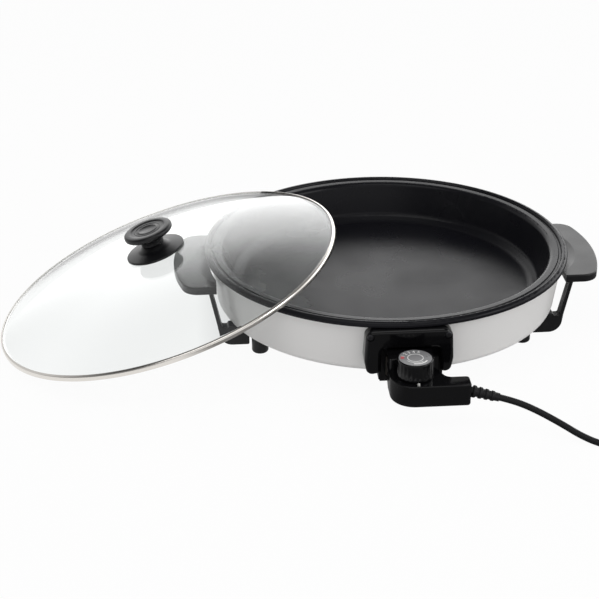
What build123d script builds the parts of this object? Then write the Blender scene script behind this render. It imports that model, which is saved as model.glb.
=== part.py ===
from build123d import *
from math import atan2, ceil, cos, degrees, dist, pi, radians, sin, sqrt, tan
import os

# A round electric pan: a cast pan in a painted steel body, a loose glass lid leaning on its rim,
# and a plug-in thermostat with a dial and a mains lead. Millimetres, Z up, table at Z = 0.
# The pan's handles are on X and its socket faces -Y. Everything is drawn about the pan's own
# axis, and moved at the end so that the origin is under the middle of the whole footprint.

# Cast pan
RIM_R = 210.0
RIM_Z = 98.0
SKIRT_Z = 92.2
SKIRT_INNER_R = 205.4
LEDGE_Z = 96.2
LEDGE_UNDER_Z = 92.6
FLOOR_Z = 50.0
CAST_WALL = 3.5
FLOOR_R = 170.0

# Painted steel body
BODY_TOP_R = 204.4
BODY_LOW_R = 197.6
BODY_BASE_Z = 32.4
BODY_SHEET = 1.0
FLANGE_R = 158.0
BASE_PLATE_R = 176.0

# Feet and the pillars above them
FOOT_X, FOOT_Y = 151.0, 73.5
FOOT_R = 9.5
SCREW_R = 2.0
HEAD_R = 3.6
HEAD_H = 2.6

# Handles
EAR_TOP_Z = 81.0
EAR_THICK = 9.0
EAR_ARC_R = 196.0
EAR_ARC_X = 50.0
EAR_HALF = 74.5
EAR_INNER_R = 204.8
EAR_INNER_X = 198.0
STRUT_DEEP = 12.0
ARM_LOW_Z = 8.7
ARM_TOP_Z = 29.6
ARM_END_X = 163.0
HANDLE_SCREW_X = 169.5

# Socket on the body
SOCKET_FRONT = -214.0
SOCKET_TOP_Z = 91.4
RECESS_LEFT, RECESS_RIGHT = -29.0, 33.0
RECESS_TOP_Z = 70.0
SOCKET_SCREW_X = 41.0
SOCKET_SCREW_Z = 84.0
PIN_X = 16.0
PIN_R = 2.5

# Heating element
ELEMENT_R = 120.0
ELEMENT_TUBE_R = 3.3
ELEMENT_BEND_R = 20.0
ELEMENT_END = -191.0
CLAMP_ANGLES = (0, 90, 180)
PIN_Z = FLOOR_Z - CAST_WALL - ELEMENT_TUBE_R - 0.05

# Lid, leaning with its low edge on the table
LID_R = 204.8
LID_REACH = 450.0
LID_TILT = 17.13
LID_LEAN = 181.0
BAND_H = 6.2
BAND_SHEET = 0.8
DOME_H = 42.0
GLASS = 4.0
GLASS_EDGE_R = 202.5
GLASS_EDGE_Z = 1.3
SHOULDER = (197.6, 6.6)
EDGE_FLAT = 3.3
LIP = 3.0
KNOB_R = 28.6
KNOB_BASE_R = 34.2
KNOB_WAIST_R = 13.2
KNOB_LOW = DOME_H + 9.0
KNOB_TOP = DOME_H + 28.0
REST_GAP = 0.3

# Thermostat
DIAL_X, DIAL_Y = 1.6, -245.0
DIAL_R = 18.75
DIAL_LOW_Z, DIAL_TOP_Z = 55.4, 76.0
SHAFT_R = 4.0
HOUSING_LOW_Z, HOUSING_SPLIT_Z, HOUSING_TOP_Z = 30.2, 40.0, 55.0
HOUSING_WALL = 2.4
NECK_END = -208.5
NECK_FRONT = -232.0
NECK_TOP_Z = 68.0
PROBE_R = 3.15
PROBE_TIP = -150.0
SLEEVE_R = 3.7
LENS_X, LENS_Y, LENS_R = 2.6, -266.6, 1.5

# Mains lead: its relief points down and a little forward as it leaves the housing
CORD_R = 3.5
RELIEF_START = (57.0, -260.3, 43.3)
RELIEF_LENGTH = 31.0
RELIEF_AIM = Vector(0.962, -0.085, -0.258).normalized()
COIL_X, COIL_Y = 250.0, -291.0
COIL_LIFT = 1.1
COIL_R = 45.6
COIL_PITCH = 7.8
COIL_START = 248.0
COIL_TURNS_DOWN = 2.0
COIL_TURNS_UP = 1.75
TIE_ANGLE = 90.0
PLUG_R = 18.2
PLUG_LENGTH = 46.0
PLUG_PIN_R = 2.4
PLUG_PIN_REACH = 19.0
PLUG_ROOT_R = 1.9
PLUG_ROOT_REACH = 1.0


def outline(*corners):
    """Closed face through the corners; a third number in a corner is its round."""
    points = [corner[:2] for corner in corners]
    rounds = [corner[2] if len(corner) > 2 else 0.0 for corner in corners]
    return make_face(FilletPolyline(*points, radius=rounds, close=True).edges())


def turned(*corners):
    """Solid of revolution about Z; each corner is (radius, height)."""
    return revolve(Plane.XZ * outline(*corners), Axis.Z)


def upright(face, low, high):
    """Prism on a plan outline, from one height to another."""
    return extrude(Pos(0, 0, low) * face, high - low)


def rod(radius, start, end):
    """Round bar between two points."""
    along = Vector(end) - Vector(start)
    return Plane(origin=start, z_dir=along) * Cylinder(
        radius, along.length, align=(Align.CENTER, Align.CENTER, Align.MIN)
    )


def disc(radius, low, high, x=0.0, y=0.0):
    return rod(radius, (x, y, low), (x, y, high))


def block(x_range, y_range, z_range):
    size = [high - low for low, high in (x_range, y_range, z_range)]
    middle = [(high + low) / 2 for low, high in (x_range, y_range, z_range)]
    return Pos(*middle) * Box(*size)


def nut(across, low, high, x, y):
    """Hexagon prism, flats facing the pan's axis."""
    face = RegularPolygon(across / 2, 6, major_radius=False)
    return Pos(x, y, 0) * Rot(0, 0, degrees(atan2(y, x))) * upright(Sketch() + face, low, high)


def screw(x, y, seat_z, tip_z, shank_r=SCREW_R - 0.05, head_r=HEAD_R, head_h=HEAD_H):
    """Pan-head screw along Z, its head on the far side of the seat from the tip."""
    way = 1 if tip_z > seat_z else -1
    head = rod(head_r, (x, y, seat_z - way * head_h), (x, y, seat_z))
    head = fillet(head.faces().sort_by(Axis.Z)[0 if way > 0 else -1].edges(), head_h * 0.45)
    slot = Pos(x, y, seat_z - way * head_h) * Box(0.9, head_r * 1.2, head_h * 0.9)
    cross = Pos(x, y, seat_z - way * head_h) * Box(head_r * 1.2, 0.9, head_h * 0.9)
    return head + rod(shank_r, (x, y, seat_z), (x, y, tip_z)) - slot - cross


def corners_of_four(x, y):
    return [(side * x, end * y) for side in (1, -1) for end in (1, -1)]


# Pan


def pan_vessel():
    """Cast aluminium pan: flat floor, flared wall, ledge, groove and a rounded rim bead."""
    under = FLOOR_Z - CAST_WALL
    return turned(
        (0, under),
        (FLOOR_R + 4.5, under, 10),
        (183.8, 57.0, 8),
        (193.4, LEDGE_UNDER_Z, 3),
        (SKIRT_INNER_R, LEDGE_UNDER_Z),
        (SKIRT_INNER_R, SKIRT_Z),
        (RIM_R, SKIRT_Z, 0.6),
        (RIM_R, RIM_Z, 4.2),
        (203.2, RIM_Z, 2.6),
        (202.4, 94.7, 0.6),
        (200.2, 94.7, 0.6),
        (199.3, LEDGE_Z, 0.4),
        (189.8, 95.6, 6.0),
        (179.6, 57.0, 8),
        (FLOOR_R, FLOOR_Z, 12),
        (0, FLOOR_Z),
    )


def outer_body():
    """Painted steel wall that rolls in under the pan to a flat flange, open for the socket."""
    sheet = BODY_SHEET
    wall = turned(
        (FLANGE_R, BODY_BASE_Z),
        (BODY_LOW_R - 1.6, BODY_BASE_Z, 9.2),
        (BODY_TOP_R, SKIRT_Z + 0.2),
        (BODY_TOP_R - sheet, SKIRT_Z + 0.2),
        (BODY_LOW_R - 1.6 - sheet, BODY_BASE_Z + sheet, 8.2),
        (FLANGE_R, BODY_BASE_Z + sheet),
    )
    wall -= block((-24.6, 24.6), (-215, -185), (34.8, 59.2))
    for x, y in corners_of_four(FOOT_X, FOOT_Y):
        wall -= disc(SCREW_R + 0.2, 30, 36, x, y)
    for x, y in corners_of_four(HANDLE_SCREW_X, handle_screw_y()):
        wall -= disc(SCREW_R + 0.2, 30, 36, x, y)
    for x in (-SOCKET_SCREW_X, SOCKET_SCREW_X):
        wall -= rod(SCREW_R + 0.2, (x, -215, SOCKET_SCREW_Z), (x, -185, SOCKET_SCREW_Z))
    return wall


def base_plate():
    """Galvanised disc that closes the bottom, lying on the body's flange."""
    low = BODY_BASE_Z + BODY_SHEET
    plate = disc(BASE_PLATE_R, low, low + BODY_SHEET)
    for x, y in corners_of_four(FOOT_X, FOOT_Y):
        plate -= disc(SCREW_R + 0.2, low - 1, low + 3, x, y)
    for x, y in corners_of_four(HANDLE_SCREW_X, handle_screw_y()):
        plate -= disc(6.0, low - 1, low + 3, x, y)
    for index in range(12):
        slot = Pos(110, 0, low) * Box(34, 5, 6)
        plate -= Rot(0, 0, 15 + 30 * index) * slot
    return plate


def pan_pillars():
    """Four hexagon pillars that carry the pan above the base plate."""
    low = BODY_BASE_Z + 2 * BODY_SHEET
    high = FLOOR_Z - CAST_WALL
    return [
        nut(8, low, high, x, y) - disc(SCREW_R, low - 1, high - 2, x, y)
        for x, y in corners_of_four(FOOT_X, FOOT_Y)
    ]


def heat_reflector():
    """Thin bright disc under the element, hung on the pillars."""
    low, high = 37.6, 38.2
    plate = disc(180.0, low, high)
    plate -= block((-30, 30), (-190, -140), (low - 1, high + 1))
    for x, y in corners_of_four(FOOT_X, FOOT_Y):
        plate -= nut(8.4, low - 1, high + 1, x, y)
    return plate


def heating_element():
    """Sheathed element: one ring under the floor, its two ends bent out to the socket."""
    z = PIN_Z
    reach = ELEMENT_R + ELEMENT_BEND_R
    bend_x = PIN_X + ELEMENT_BEND_R
    bend_y = -sqrt(reach**2 - bend_x**2)
    meet = (bend_x * ELEMENT_R / reach, bend_y * ELEMENT_R / reach)
    half = atan2(meet[1] - bend_y, meet[0] - bend_x) / 2 + pi / 2
    bend_mid = (bend_x + ELEMENT_BEND_R * cos(half), bend_y + ELEMENT_BEND_R * sin(half))
    path = [
        Edge.make_line((PIN_X, ELEMENT_END, z), (PIN_X, bend_y, z)),
        Edge.make_three_point_arc((PIN_X, bend_y, z), (*bend_mid, z), (*meet, z)),
        Edge.make_three_point_arc((*meet, z), (0, ELEMENT_R, z), (-meet[0], meet[1], z)),
        Edge.make_three_point_arc(
            (-meet[0], meet[1], z), (-bend_mid[0], bend_mid[1], z), (-PIN_X, bend_y, z)
        ),
        Edge.make_line((-PIN_X, bend_y, z), (-PIN_X, ELEMENT_END, z)),
    ]
    section = Plane(origin=(PIN_X, ELEMENT_END, z), z_dir=(0, 1, 0)) * Circle(ELEMENT_TUBE_R)
    return sweep(section, path=Wire(path))


def element_clamps():
    """Bent straps that press the element up against the floor."""
    top = FLOOR_Z - CAST_WALL
    low = top - 2 * ELEMENT_TUBE_R - 0.2
    strap = Plane.XZ * outline(
        (-14, top), (-14, top - 1.2), (-4.6, top - 1.2), (-4.6, low - 1.2, 1.5), (4.6, low - 1.2, 1.5),
        (4.6, top - 1.2), (14, top - 1.2), (14, top), (3.5, top), (3.5, low, 1.0), (-3.5, low, 1.0),
        (-3.5, top),
    )
    strap = extrude(strap, 5, both=True)
    strap = Pos(ELEMENT_R, 0, 0) * strap
    strap -= disc(1.7, low, top + 1, ELEMENT_R + 9.5) + disc(1.7, low, top + 1, ELEMENT_R - 9.5)
    return [Rot(0, 0, angle) * strap for angle in CLAMP_ANGLES]


def clamp_rivets():
    """Two rivet heads on each clamp strap."""
    seat = FLOOR_Z - CAST_WALL - 1.2
    rivets = []
    for angle in CLAMP_ANGLES:
        for radius in (ELEMENT_R - 9.5, ELEMENT_R + 9.5):
            rivet = disc(1.6, seat, seat + 1.1, radius) + disc(2.8, seat - 1.5, seat, radius)
            rivets.append(Rot(0, 0, angle) * rivet)
    return rivets


def probe_holder():
    """Block under the floor that the thermostat's probe slides into."""
    top = FLOOR_Z - CAST_WALL
    holder = block((-9, 9), (-178, -147), (37.2, top))
    holder = fillet(holder.edges().filter_by(Axis.Y).group_by(Axis.Z)[0], 3)
    holder -= block((-20, 20), (-180, -170), (43.6, top + 1))
    return holder - rod(PROBE_R + 0.35, (0, -185, PIN_Z), (0, -140, PIN_Z))


# Feet and handles


def feet():
    """Moulded feet, turned in at the bottom and counterbored for their screws."""
    foot = turned((0, 0), (FOOT_R, 0, 3.2), (FOOT_R, BODY_BASE_Z), (0, BODY_BASE_Z))
    foot -= disc(HEAD_R + 0.8, -1, 8) + disc(SCREW_R + 0.3, 0, BODY_BASE_Z + 1)
    return [Pos(x, y, 0) * foot for x, y in corners_of_four(FOOT_X, FOOT_Y)]


def foot_screws():
    return [screw(x, y, 8.0, 43.0) for x, y in corners_of_four(FOOT_X, FOOT_Y)]


def handle_screw_y():
    return EAR_HALF - 1.5 - STRUT_DEEP / 2


def handle():
    """Right handle: a flat ear on two struts whose arms reach in under the body."""
    low = EAR_TOP_Z - EAR_THICK
    reach = Pos(EAR_INNER_X + 30, 0) * Rectangle(60, 2 * EAR_HALF)
    plan = Pos(EAR_ARC_X, 0) * Circle(EAR_ARC_R) & reach
    plan -= Circle(EAR_INNER_R)
    tips = [v for v in plan.vertices() if v.X > EAR_INNER_R and abs(v.Y) > EAR_HALF - 1]
    plan = fillet(tips, 19)
    ear = upright(plan, low, EAR_TOP_Z)
    ear = fillet([e for e in ear.edges().group_by(Axis.Z)[-1] if open_side(e.center())], 1.6)
    ear = fillet([e for e in ear.edges().group_by(Axis.Z)[0] if open_side(e.center())], 1.2)

    scoop_x, scoop_r, scoop_depth = 130.0, 93.0, 11.0
    ball_r = (scoop_r**2 + scoop_depth**2) / (2 * scoop_depth)
    ear -= Pos(scoop_x, 0, EAR_TOP_Z + ball_r - scoop_depth) * Sphere(ball_r)

    side = outline(
        (202.8, low + 1), (207.0, low + 1), (198.2, 31.0, 14), (195.4, ARM_LOW_Z, 15),
        (ARM_END_X, ARM_LOW_Z, 2), (ARM_END_X, BODY_BASE_Z), (186.0, BODY_BASE_Z, 1),
        (187.5, ARM_TOP_Z, 1), (193.2, ARM_TOP_Z, 2),
    )
    outer = EAR_HALF - 1.5
    struts = []
    for start in (-outer, outer - STRUT_DEEP):
        strut = extrude(Plane.XZ.offset(-start) * side, -STRUT_DEEP)
        strut = fillet([e for e in strut.edges().filter_by(GeomType.LINE) if e.center().X > 199], 0.8)
        struts.append(strut)
    whole = ear + struts
    for y in (-handle_screw_y(), handle_screw_y()):
        whole -= disc(HEAD_R + 0.5, 0, ARM_LOW_Z + 5, HANDLE_SCREW_X, y)
        whole -= disc(SCREW_R + 0.2, 0, BODY_BASE_Z + 2, HANDLE_SCREW_X, y)
    return whole


def open_side(point):
    """True away from the ear's inner edge, which lies against the body."""
    return point.X > 215 or (point.X > 200 and abs(point.Y) > 60)


def handle_screws():
    places = corners_of_four(HANDLE_SCREW_X, handle_screw_y())
    return [screw(x, y, ARM_LOW_Z + 5, BODY_BASE_Z + 5.2) for x, y in places]


def handle_nuts():
    low = BODY_BASE_Z + BODY_SHEET
    places = corners_of_four(HANDLE_SCREW_X, handle_screw_y())
    return [nut(7, low, low + 3.2, x, y) - disc(SCREW_R, low - 1, low + 5, x, y) for x, y in places]


# Socket


def socket_housing():
    """Black moulding on the body: two rounded lobes, an open recess and a collar set back in it."""
    front = outline(
        (-45.6, SOCKET_TOP_Z, 10), (45.6, SOCKET_TOP_Z, 10), (47.3, 56, 20), (44.0, 39.0, 7),
        (RECESS_RIGHT + 0.5, 41.5, 2), (RECESS_RIGHT, RECESS_TOP_Z, 5), (RECESS_LEFT, RECESS_TOP_Z, 5),
        (RECESS_LEFT - 0.5, 41.5, 2), (-44.0, 39.0, 7), (-47.3, 56, 20),
    )
    housing = extrude(Plane.XZ.offset(-SOCKET_FRONT) * front, -32)
    edges = [e for e in housing.faces().sort_by(Axis.Y)[0].edges() if outside_recess(e.center())]
    housing = fillet(edges, 4.0)
    collar = block((RECESS_LEFT - 3, RECESS_RIGHT + 3), (-210, -194), (32.0, RECESS_TOP_Z + 3))
    collar = fillet(collar.edges().filter_by(Axis.Y).group_by(Axis.Z)[0], 2)
    collar -= block((RECESS_LEFT, RECESS_RIGHT), (-212, -190), (0, RECESS_TOP_Z))
    back = block((RECESS_LEFT - 1, RECESS_RIGHT + 1), (-206.2, -198), (28.6, RECESS_TOP_Z + 1))
    back -= block((-24.3, 24.3), (-210, -190), (34.9, 59.1))
    housing += collar + back
    housing -= body_envelope(0.15)
    for x in (-SOCKET_SCREW_X, SOCKET_SCREW_X):
        housing -= rod(SCREW_R + 0.2, (x, -220, SOCKET_SCREW_Z), (x, -180, SOCKET_SCREW_Z))
        housing -= rod(HEAD_R + 0.3, (x, -220, SOCKET_SCREW_Z), (x, SOCKET_FRONT + 3.2, SOCKET_SCREW_Z))
    return housing


def outside_recess(point):
    inside = RECESS_LEFT - 3 < point.X < RECESS_RIGHT + 3 and point.Z < RECESS_TOP_Z + 1
    return not inside


def body_envelope(gap):
    """The body's outer form with its inside filled, grown by a gap."""
    return turned(
        (0, BODY_BASE_Z - gap), (BODY_LOW_R - 1.6 + gap, BODY_BASE_Z - gap, 9.2),
        (BODY_TOP_R + gap, SKIRT_Z + 0.2), (BODY_TOP_R + gap, RIM_Z), (0, RIM_Z),
    )


def socket_screws():
    screws = []
    for x in (-SOCKET_SCREW_X, SOCKET_SCREW_X):
        upright_screw = screw(0, 0, 0, 22.0)
        aim = Plane(origin=(x, SOCKET_FRONT + 3.2, SOCKET_SCREW_Z), z_dir=(0, 1, 0))
        screws.append(aim * upright_screw)
    return screws


def terminal_block():
    """Ceramic block in the body's wall that holds the pins and guides the probe."""
    body = block((-24, 24), (-206.5, -187), (35.2, 58))
    body = fillet(body.edges().filter_by(Axis.Y), 2)
    for x in (-PIN_X, PIN_X):
        body -= rod(PIN_R + 0.1, (x, -210, PIN_Z), (x, -190.5, PIN_Z))
        body -= rod(ELEMENT_TUBE_R + 0.2, (x, -192, PIN_Z), (x, -180, PIN_Z))
    return body - rod(PROBE_R + 0.6, (0, -210, PIN_Z), (0, -180, PIN_Z))


def terminal_pins():
    """Plated pins on the element's ends, round-nosed."""
    pins = []
    for x in (-PIN_X, PIN_X):
        pin = rod(PIN_R, (x, ELEMENT_END, PIN_Z), (x, -226, PIN_Z))
        pins.append(fillet(pin.faces().sort_by(Axis.Y)[0].edges(), 1.6))
    return pins


def earth_clip():
    """Brass spring clip over the block that meets the thermostat's neck."""
    side = outline(
        (-190, 58.05), (-206.6, 58.05), (-206.6, 50), (-207.3, 50), (-207.3, 58.75), (-190, 58.75),
    )
    return Pos(-6, 0, 0) * extrude(Plane.YZ * side, 12)


# Lid


def lid_place():
    """Plane of the band's lower edge: low side on the table, leaning towards -X."""
    lean, tilt = radians(LID_LEAN), radians(LID_TILT)
    out = LID_REACH - LID_R * cos(tilt)
    centre = (out * cos(lean), out * sin(lean), REST_GAP + LID_R * sin(tilt))
    normal = (sin(tilt) * cos(lean), sin(tilt) * sin(lean), cos(tilt))
    return Plane(origin=centre, x_dir=(sin(lean), -cos(lean), 0), z_dir=normal)


def dome_arc(apex, shoulder):
    """Arc of the dome's section, level at its apex, down to the shoulder."""
    radius, low = shoulder
    drop = apex - low
    sphere = (radius**2 + drop**2) / (2 * drop)
    half = radius / 2
    middle = (half, apex - sphere + sqrt(sphere**2 - half**2))
    return ThreePointArc((0, apex), middle, shoulder), sphere


def lid_glass():
    """Tempered glass: a shallow dome with a narrow flat edge and one hole."""
    over, under = SHOULDER, (SHOULDER[0] - 2.0, SHOULDER[1] - GLASS)
    top = GLASS_EDGE_Z + GLASS
    edge = [
        (over[0] + EDGE_FLAT, top), (GLASS_EDGE_R, top), (GLASS_EDGE_R, GLASS_EDGE_Z),
        (under[0] + EDGE_FLAT, GLASS_EDGE_Z),
    ]
    low_arc, _ = dome_arc(DOME_H - GLASS, under)
    high_arc, _ = dome_arc(DOME_H, over)
    sides = Polyline(over, *edge, under)
    face = make_face([high_arc, sides, low_arc, Line((0, DOME_H - GLASS), (0, DOME_H))])
    bends = [v for v in face.vertices() if SHOULDER[0] < v.X < GLASS_EDGE_R - 0.5]
    face = fillet(bends, 4.0)
    return revolve(Plane.XZ * face, Axis.Z) - disc(3.0, 30, 50)


def lid_band():
    """Steel band folded round the glass edge, with a lip above and below it."""
    inner = LID_R - BAND_SHEET
    lip_r, lip_low, lip_high = LID_R - LIP, GLASS_EDGE_Z - 0.1, GLASS_EDGE_Z + GLASS + 0.1
    return turned(
        (inner, 0), (LID_R, 0), (LID_R, BAND_H, 0.7), (lip_r, BAND_H), (lip_r, lip_high),
        (inner, lip_high), (inner, lip_low), (lip_r, lip_low), (lip_r, lip_low - 0.6),
        (inner, lip_low - 0.6),
    )


def knob_base():
    """Flared guard between the glass and the knob's waist."""
    _, outer = dome_arc(DOME_H, SHOULDER)
    base = turned(
        (3.2, DOME_H - 4), (KNOB_BASE_R, DOME_H - 4), (KNOB_BASE_R, DOME_H + 1.2, 1.2),
        (18.0, DOME_H + 3.8, 8), (KNOB_WAIST_R, KNOB_LOW, 2), (3.2, KNOB_LOW),
    )
    return base - Pos(0, 0, DOME_H - outer) * Sphere(outer + 0.1)


def knob():
    """Spool-shaped knob: waist, broad disc and a shallow ringed dish on its top."""
    grip = turned(
        (0, KNOB_LOW), (KNOB_WAIST_R, KNOB_LOW, 0.8), (KNOB_WAIST_R, KNOB_LOW + 7.5, 4),
        (20.0, KNOB_TOP - 7.6, 8), (KNOB_R, KNOB_TOP - 6.8, 3.2), (KNOB_R, KNOB_TOP - 0.6, 2.6),
        (20.5, KNOB_TOP, 1.5), (19.1, KNOB_TOP - 1.0, 1.5), (0, KNOB_TOP - 1.0),
    )
    return grip - disc(2.3, KNOB_LOW - 3, KNOB_TOP - 6)


def knob_washer():
    top = DOME_H - GLASS - 0.2
    return disc(10.0, top - 1.5, top) - disc(2.7, top - 5, top + 5)


def knob_screw():
    return screw(0, 0, DOME_H - GLASS - 1.7, KNOB_TOP - 8, 2.2, 4.6, 2.8)


# Thermostat


def housing_plan(inset=0.0):
    """Plan of the slab and neck: round about the dial, straight along the arm."""
    face = outline(
        (-23, NECK_END), (24, NECK_END), (24, -226, 9), (34, -250, 9), (57, -250, 3.5), (57, -270, 3.5),
        (-24.5, -270, 25.4), (-24.5, -228, 12),
    )
    return offset(face, -inset, kind=Kind.INTERSECTION) if inset else face


def neck_plan(inset=0.0):
    neck = Pos(0.5, (NECK_END + NECK_FRONT) / 2) * Rectangle(47, NECK_END - NECK_FRONT)
    neck -= Pos(DIAL_X, DIAL_Y) * Circle(DIAL_R + 0.9)
    neck = fillet([v for v in neck.vertices() if v.Y < NECK_FRONT + 0.1 and abs(v.X) > 20], 3)
    return offset(neck, -inset, kind=Kind.INTERSECTION) if inset else neck


def neck_bores():
    bores = rod(PROBE_R + 0.05, (0, NECK_END + 5, PIN_Z), (0, -222, PIN_Z))
    for x in (-PIN_X, PIN_X):
        bores += rod(SLEEVE_R + 0.1, (x, NECK_END + 5, PIN_Z), (x, -230, PIN_Z))
    return bores


def relief_point(along):
    return Vector(*RELIEF_START) + RELIEF_AIM * along


def relief_bore():
    return rod(4.7, relief_point(-8), relief_point(3))


def housing_screw_places():
    return [(-18.4, -252.0), (30.0, -250.5)]


def thermostat_upper():
    """Upper shell: raised neck behind the dial and the flat top of the slab and arm."""
    shell = upright(housing_plan(), HOUSING_SPLIT_Z, HOUSING_TOP_Z)
    shell = fillet(shell.edges().group_by(Axis.Z)[-1], 1.0)
    neck = upright(neck_plan(), HOUSING_SPLIT_Z, NECK_TOP_Z)
    shell += fillet(neck.edges().group_by(Axis.Z)[-1], 1.4)
    shell -= upright(housing_plan(HOUSING_WALL), HOUSING_SPLIT_Z - 1, HOUSING_TOP_Z - HOUSING_WALL)
    shell -= upright(neck_plan(HOUSING_WALL), HOUSING_SPLIT_Z - 1, NECK_TOP_Z - HOUSING_WALL)
    for x, y in housing_screw_places():
        boss = disc(3.6, HOUSING_SPLIT_Z, HOUSING_TOP_Z - 1, x, y)
        shell += boss - disc(1.45, HOUSING_SPLIT_Z - 1, HOUSING_TOP_Z - 4, x, y)
    shell -= disc(SHAFT_R + 0.05, 45, 60, DIAL_X, DIAL_Y)
    shell -= disc(LENS_R + 0.05, 45, 60, LENS_X, LENS_Y)
    return shell - neck_bores() - relief_bore()


def thermostat_lower():
    """Lower shell, rolled up at its bottom edge and set in a touch at the parting line."""
    shell = upright(housing_plan(0.35), HOUSING_LOW_Z, HOUSING_SPLIT_Z)
    shell = fillet(shell.edges().group_by(Axis.Z)[0], 3.0)
    shell -= upright(housing_plan(HOUSING_WALL + 0.4), HOUSING_LOW_Z + HOUSING_WALL, HOUSING_SPLIT_Z + 1)
    for x, y in housing_screw_places():
        shell += disc(3.6, HOUSING_LOW_Z + 1, HOUSING_SPLIT_Z, x, y)
        shell -= disc(1.7, HOUSING_LOW_Z - 1, HOUSING_SPLIT_Z + 1, x, y)
        shell -= disc(3.1, HOUSING_LOW_Z - 1, HOUSING_LOW_Z + 2.6, x, y)
    return shell - neck_bores() - relief_bore()


def housing_screws():
    seat = HOUSING_LOW_Z + 2.6
    return [screw(x, y, seat, 50.0, 1.4, 2.8, 1.8) for x, y in housing_screw_places()]


def contact_sleeves():
    """Sprung brass tubes that grip the pins."""
    sleeves = []
    for x in (-PIN_X, PIN_X):
        tube = rod(SLEEVE_R, (x, NECK_END - 0.8, PIN_Z), (x, -229.5, PIN_Z))
        sleeves.append(tube - rod(PIN_R + 0.05, (x, -200, PIN_Z), (x, -228, PIN_Z)))
    return sleeves


def contact_carrier():
    """Moulded block in the neck that the sleeves and the probe are fixed in."""
    carrier = block((-20.2, 20.5), (-226, -214), (HOUSING_LOW_Z + 3, 52))
    for x in (-PIN_X, PIN_X):
        carrier -= rod(SLEEVE_R + 0.05, (x, -200, PIN_Z), (x, -230, PIN_Z))
    return carrier - rod(PROBE_R + 0.02, (0, -200, PIN_Z), (0, -230, PIN_Z))


def probe_tube():
    """Closed steel tube that carries the feeler into the pan's holder."""
    tube = rod(PROBE_R, (0, -226, PIN_Z), (0, PROBE_TIP, PIN_Z))
    tube = fillet(tube.faces().sort_by(Axis.Y)[-1].edges(), 2.4)
    return tube - rod(PROBE_R - 0.7, (0, -230, PIN_Z), (0, PROBE_TIP - 4, PIN_Z))


def probe_rod():
    """Feeler rod inside the probe, which pushes the switch blade."""
    return rod(1.2, (0, -233, PIN_Z), (0, PROBE_TIP - 5, PIN_Z))


def switch_block():
    """Ceramic stack under the dial's shaft."""
    floor = HOUSING_LOW_Z + HOUSING_WALL + 0.1
    body = block((DIAL_X - 10, DIAL_X + 10), (DIAL_Y - 7, DIAL_Y + 7), (floor, 42))
    return fillet(body.edges().filter_by(Axis.Z), 1.5)


def switch_blade():
    """Bent spring blade from the feeler rod to the switch."""
    side = outline(
        (DIAL_Y - 4, 42.05), (-233.7, 42.05), (-233.7, 46), (-234.2, 46), (-234.2, 42.55),
        (DIAL_Y - 4, 42.55),
    )
    return Pos(DIAL_X - 4, 0, 0) * extrude(Plane.YZ * side, 8)


def pilot_lens():
    """Clear light pipe in front of the dial."""
    lens = disc(LENS_R, 50, 57.8, LENS_X, LENS_Y)
    return fillet(lens.faces().sort_by(Axis.Z)[-1].edges(), 1.0)


def inner_leads():
    """Insulated leads from the relief to the two sleeves, laid clear of the switch."""
    start = relief_point(-9.5)
    height = 47.5
    to_right = [Vector(30, -261, height), Vector(PIN_X, -250, height), Vector(PIN_X, -230.4, PIN_Z + 1)]
    to_left = [
        Vector(26, -264.5, height), Vector(-7, -262.5, height), Vector(-11, -246, height),
        Vector(-PIN_X, -236, height), Vector(-PIN_X, -230.4, PIN_Z + 1),
    ]
    leads = []
    for gap, corners in ((1.6, to_right), (-1.6, to_left)):
        line = FilletPolyline(start + Vector(0, gap, 0), *corners, radius=[5] * (len(corners) - 1))
        section = Plane(origin=line @ 0, z_dir=line % 0) * Circle(0.9)
        leads.append(sweep(section, path=line))
    return leads


# Dial


def dial_shaft():
    """Shaft through the top of the housing, its lower end over the switch."""
    shaft = disc(SHAFT_R, 44, 66, DIAL_X, DIAL_Y)
    return shaft - block((DIAL_X + 2.6, DIAL_X + 6), (DIAL_Y - 5, DIAL_Y + 5), (56, 70))


def dial():
    """Deep round dial with a fluted lower skirt and a sunk face."""
    body = disc(DIAL_R, DIAL_LOW_Z, DIAL_TOP_Z, DIAL_X, DIAL_Y)
    body = fillet(body.faces().sort_by(Axis.Z)[-1].edges(), 0.8)
    body = fillet(body.faces().sort_by(Axis.Z)[0].edges(), 0.6)
    body -= disc(DIAL_R - 1.6, DIAL_TOP_Z - 0.6, DIAL_TOP_Z + 1, DIAL_X, DIAL_Y)
    body -= disc(DIAL_R - 2.2, DIAL_LOW_Z - 1, DIAL_LOW_Z + 8, DIAL_X, DIAL_Y)
    body += disc(7.5, DIAL_LOW_Z + 0.4, DIAL_LOW_Z + 9, DIAL_X, DIAL_Y)
    bore = disc(SHAFT_R + 0.02, 50, 66.05, DIAL_X, DIAL_Y)
    bore -= block((DIAL_X + 2.62, DIAL_X + 6), (DIAL_Y - 5, DIAL_Y + 5), (56, 70))
    return body - bore


def dial_face():
    """Printed disc laid in the dial's top."""
    return disc(DIAL_R - 1.7, DIAL_TOP_Z - 0.6, DIAL_TOP_Z - 0.1, DIAL_X, DIAL_Y)


# Mains lead


def strain_relief():
    """Tapered rubber boot with four ribs."""
    boot = turned((0, 2), (5.2, 2), (4.4, RELIEF_LENGTH), (0, RELIEF_LENGTH))
    boot += disc(4.4, -7, 2) + disc(6.6, -7, -4.6)
    for index in range(4):
        low = 2.3 + index * 6.6
        wide = 6.6 - 0.35 * index
        boot += turned((0, low), (wide, low, 0.8), (wide - 0.25, low + 3.6, 0.8), (0, low + 3.6))
    boot -= disc(CORD_R + 0.1, -8, -3)
    return Plane(origin=RELIEF_START, z_dir=RELIEF_AIM) * boot


def heading(angle):
    return Vector(cos(radians(angle)), sin(radians(angle)), 0)


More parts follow.
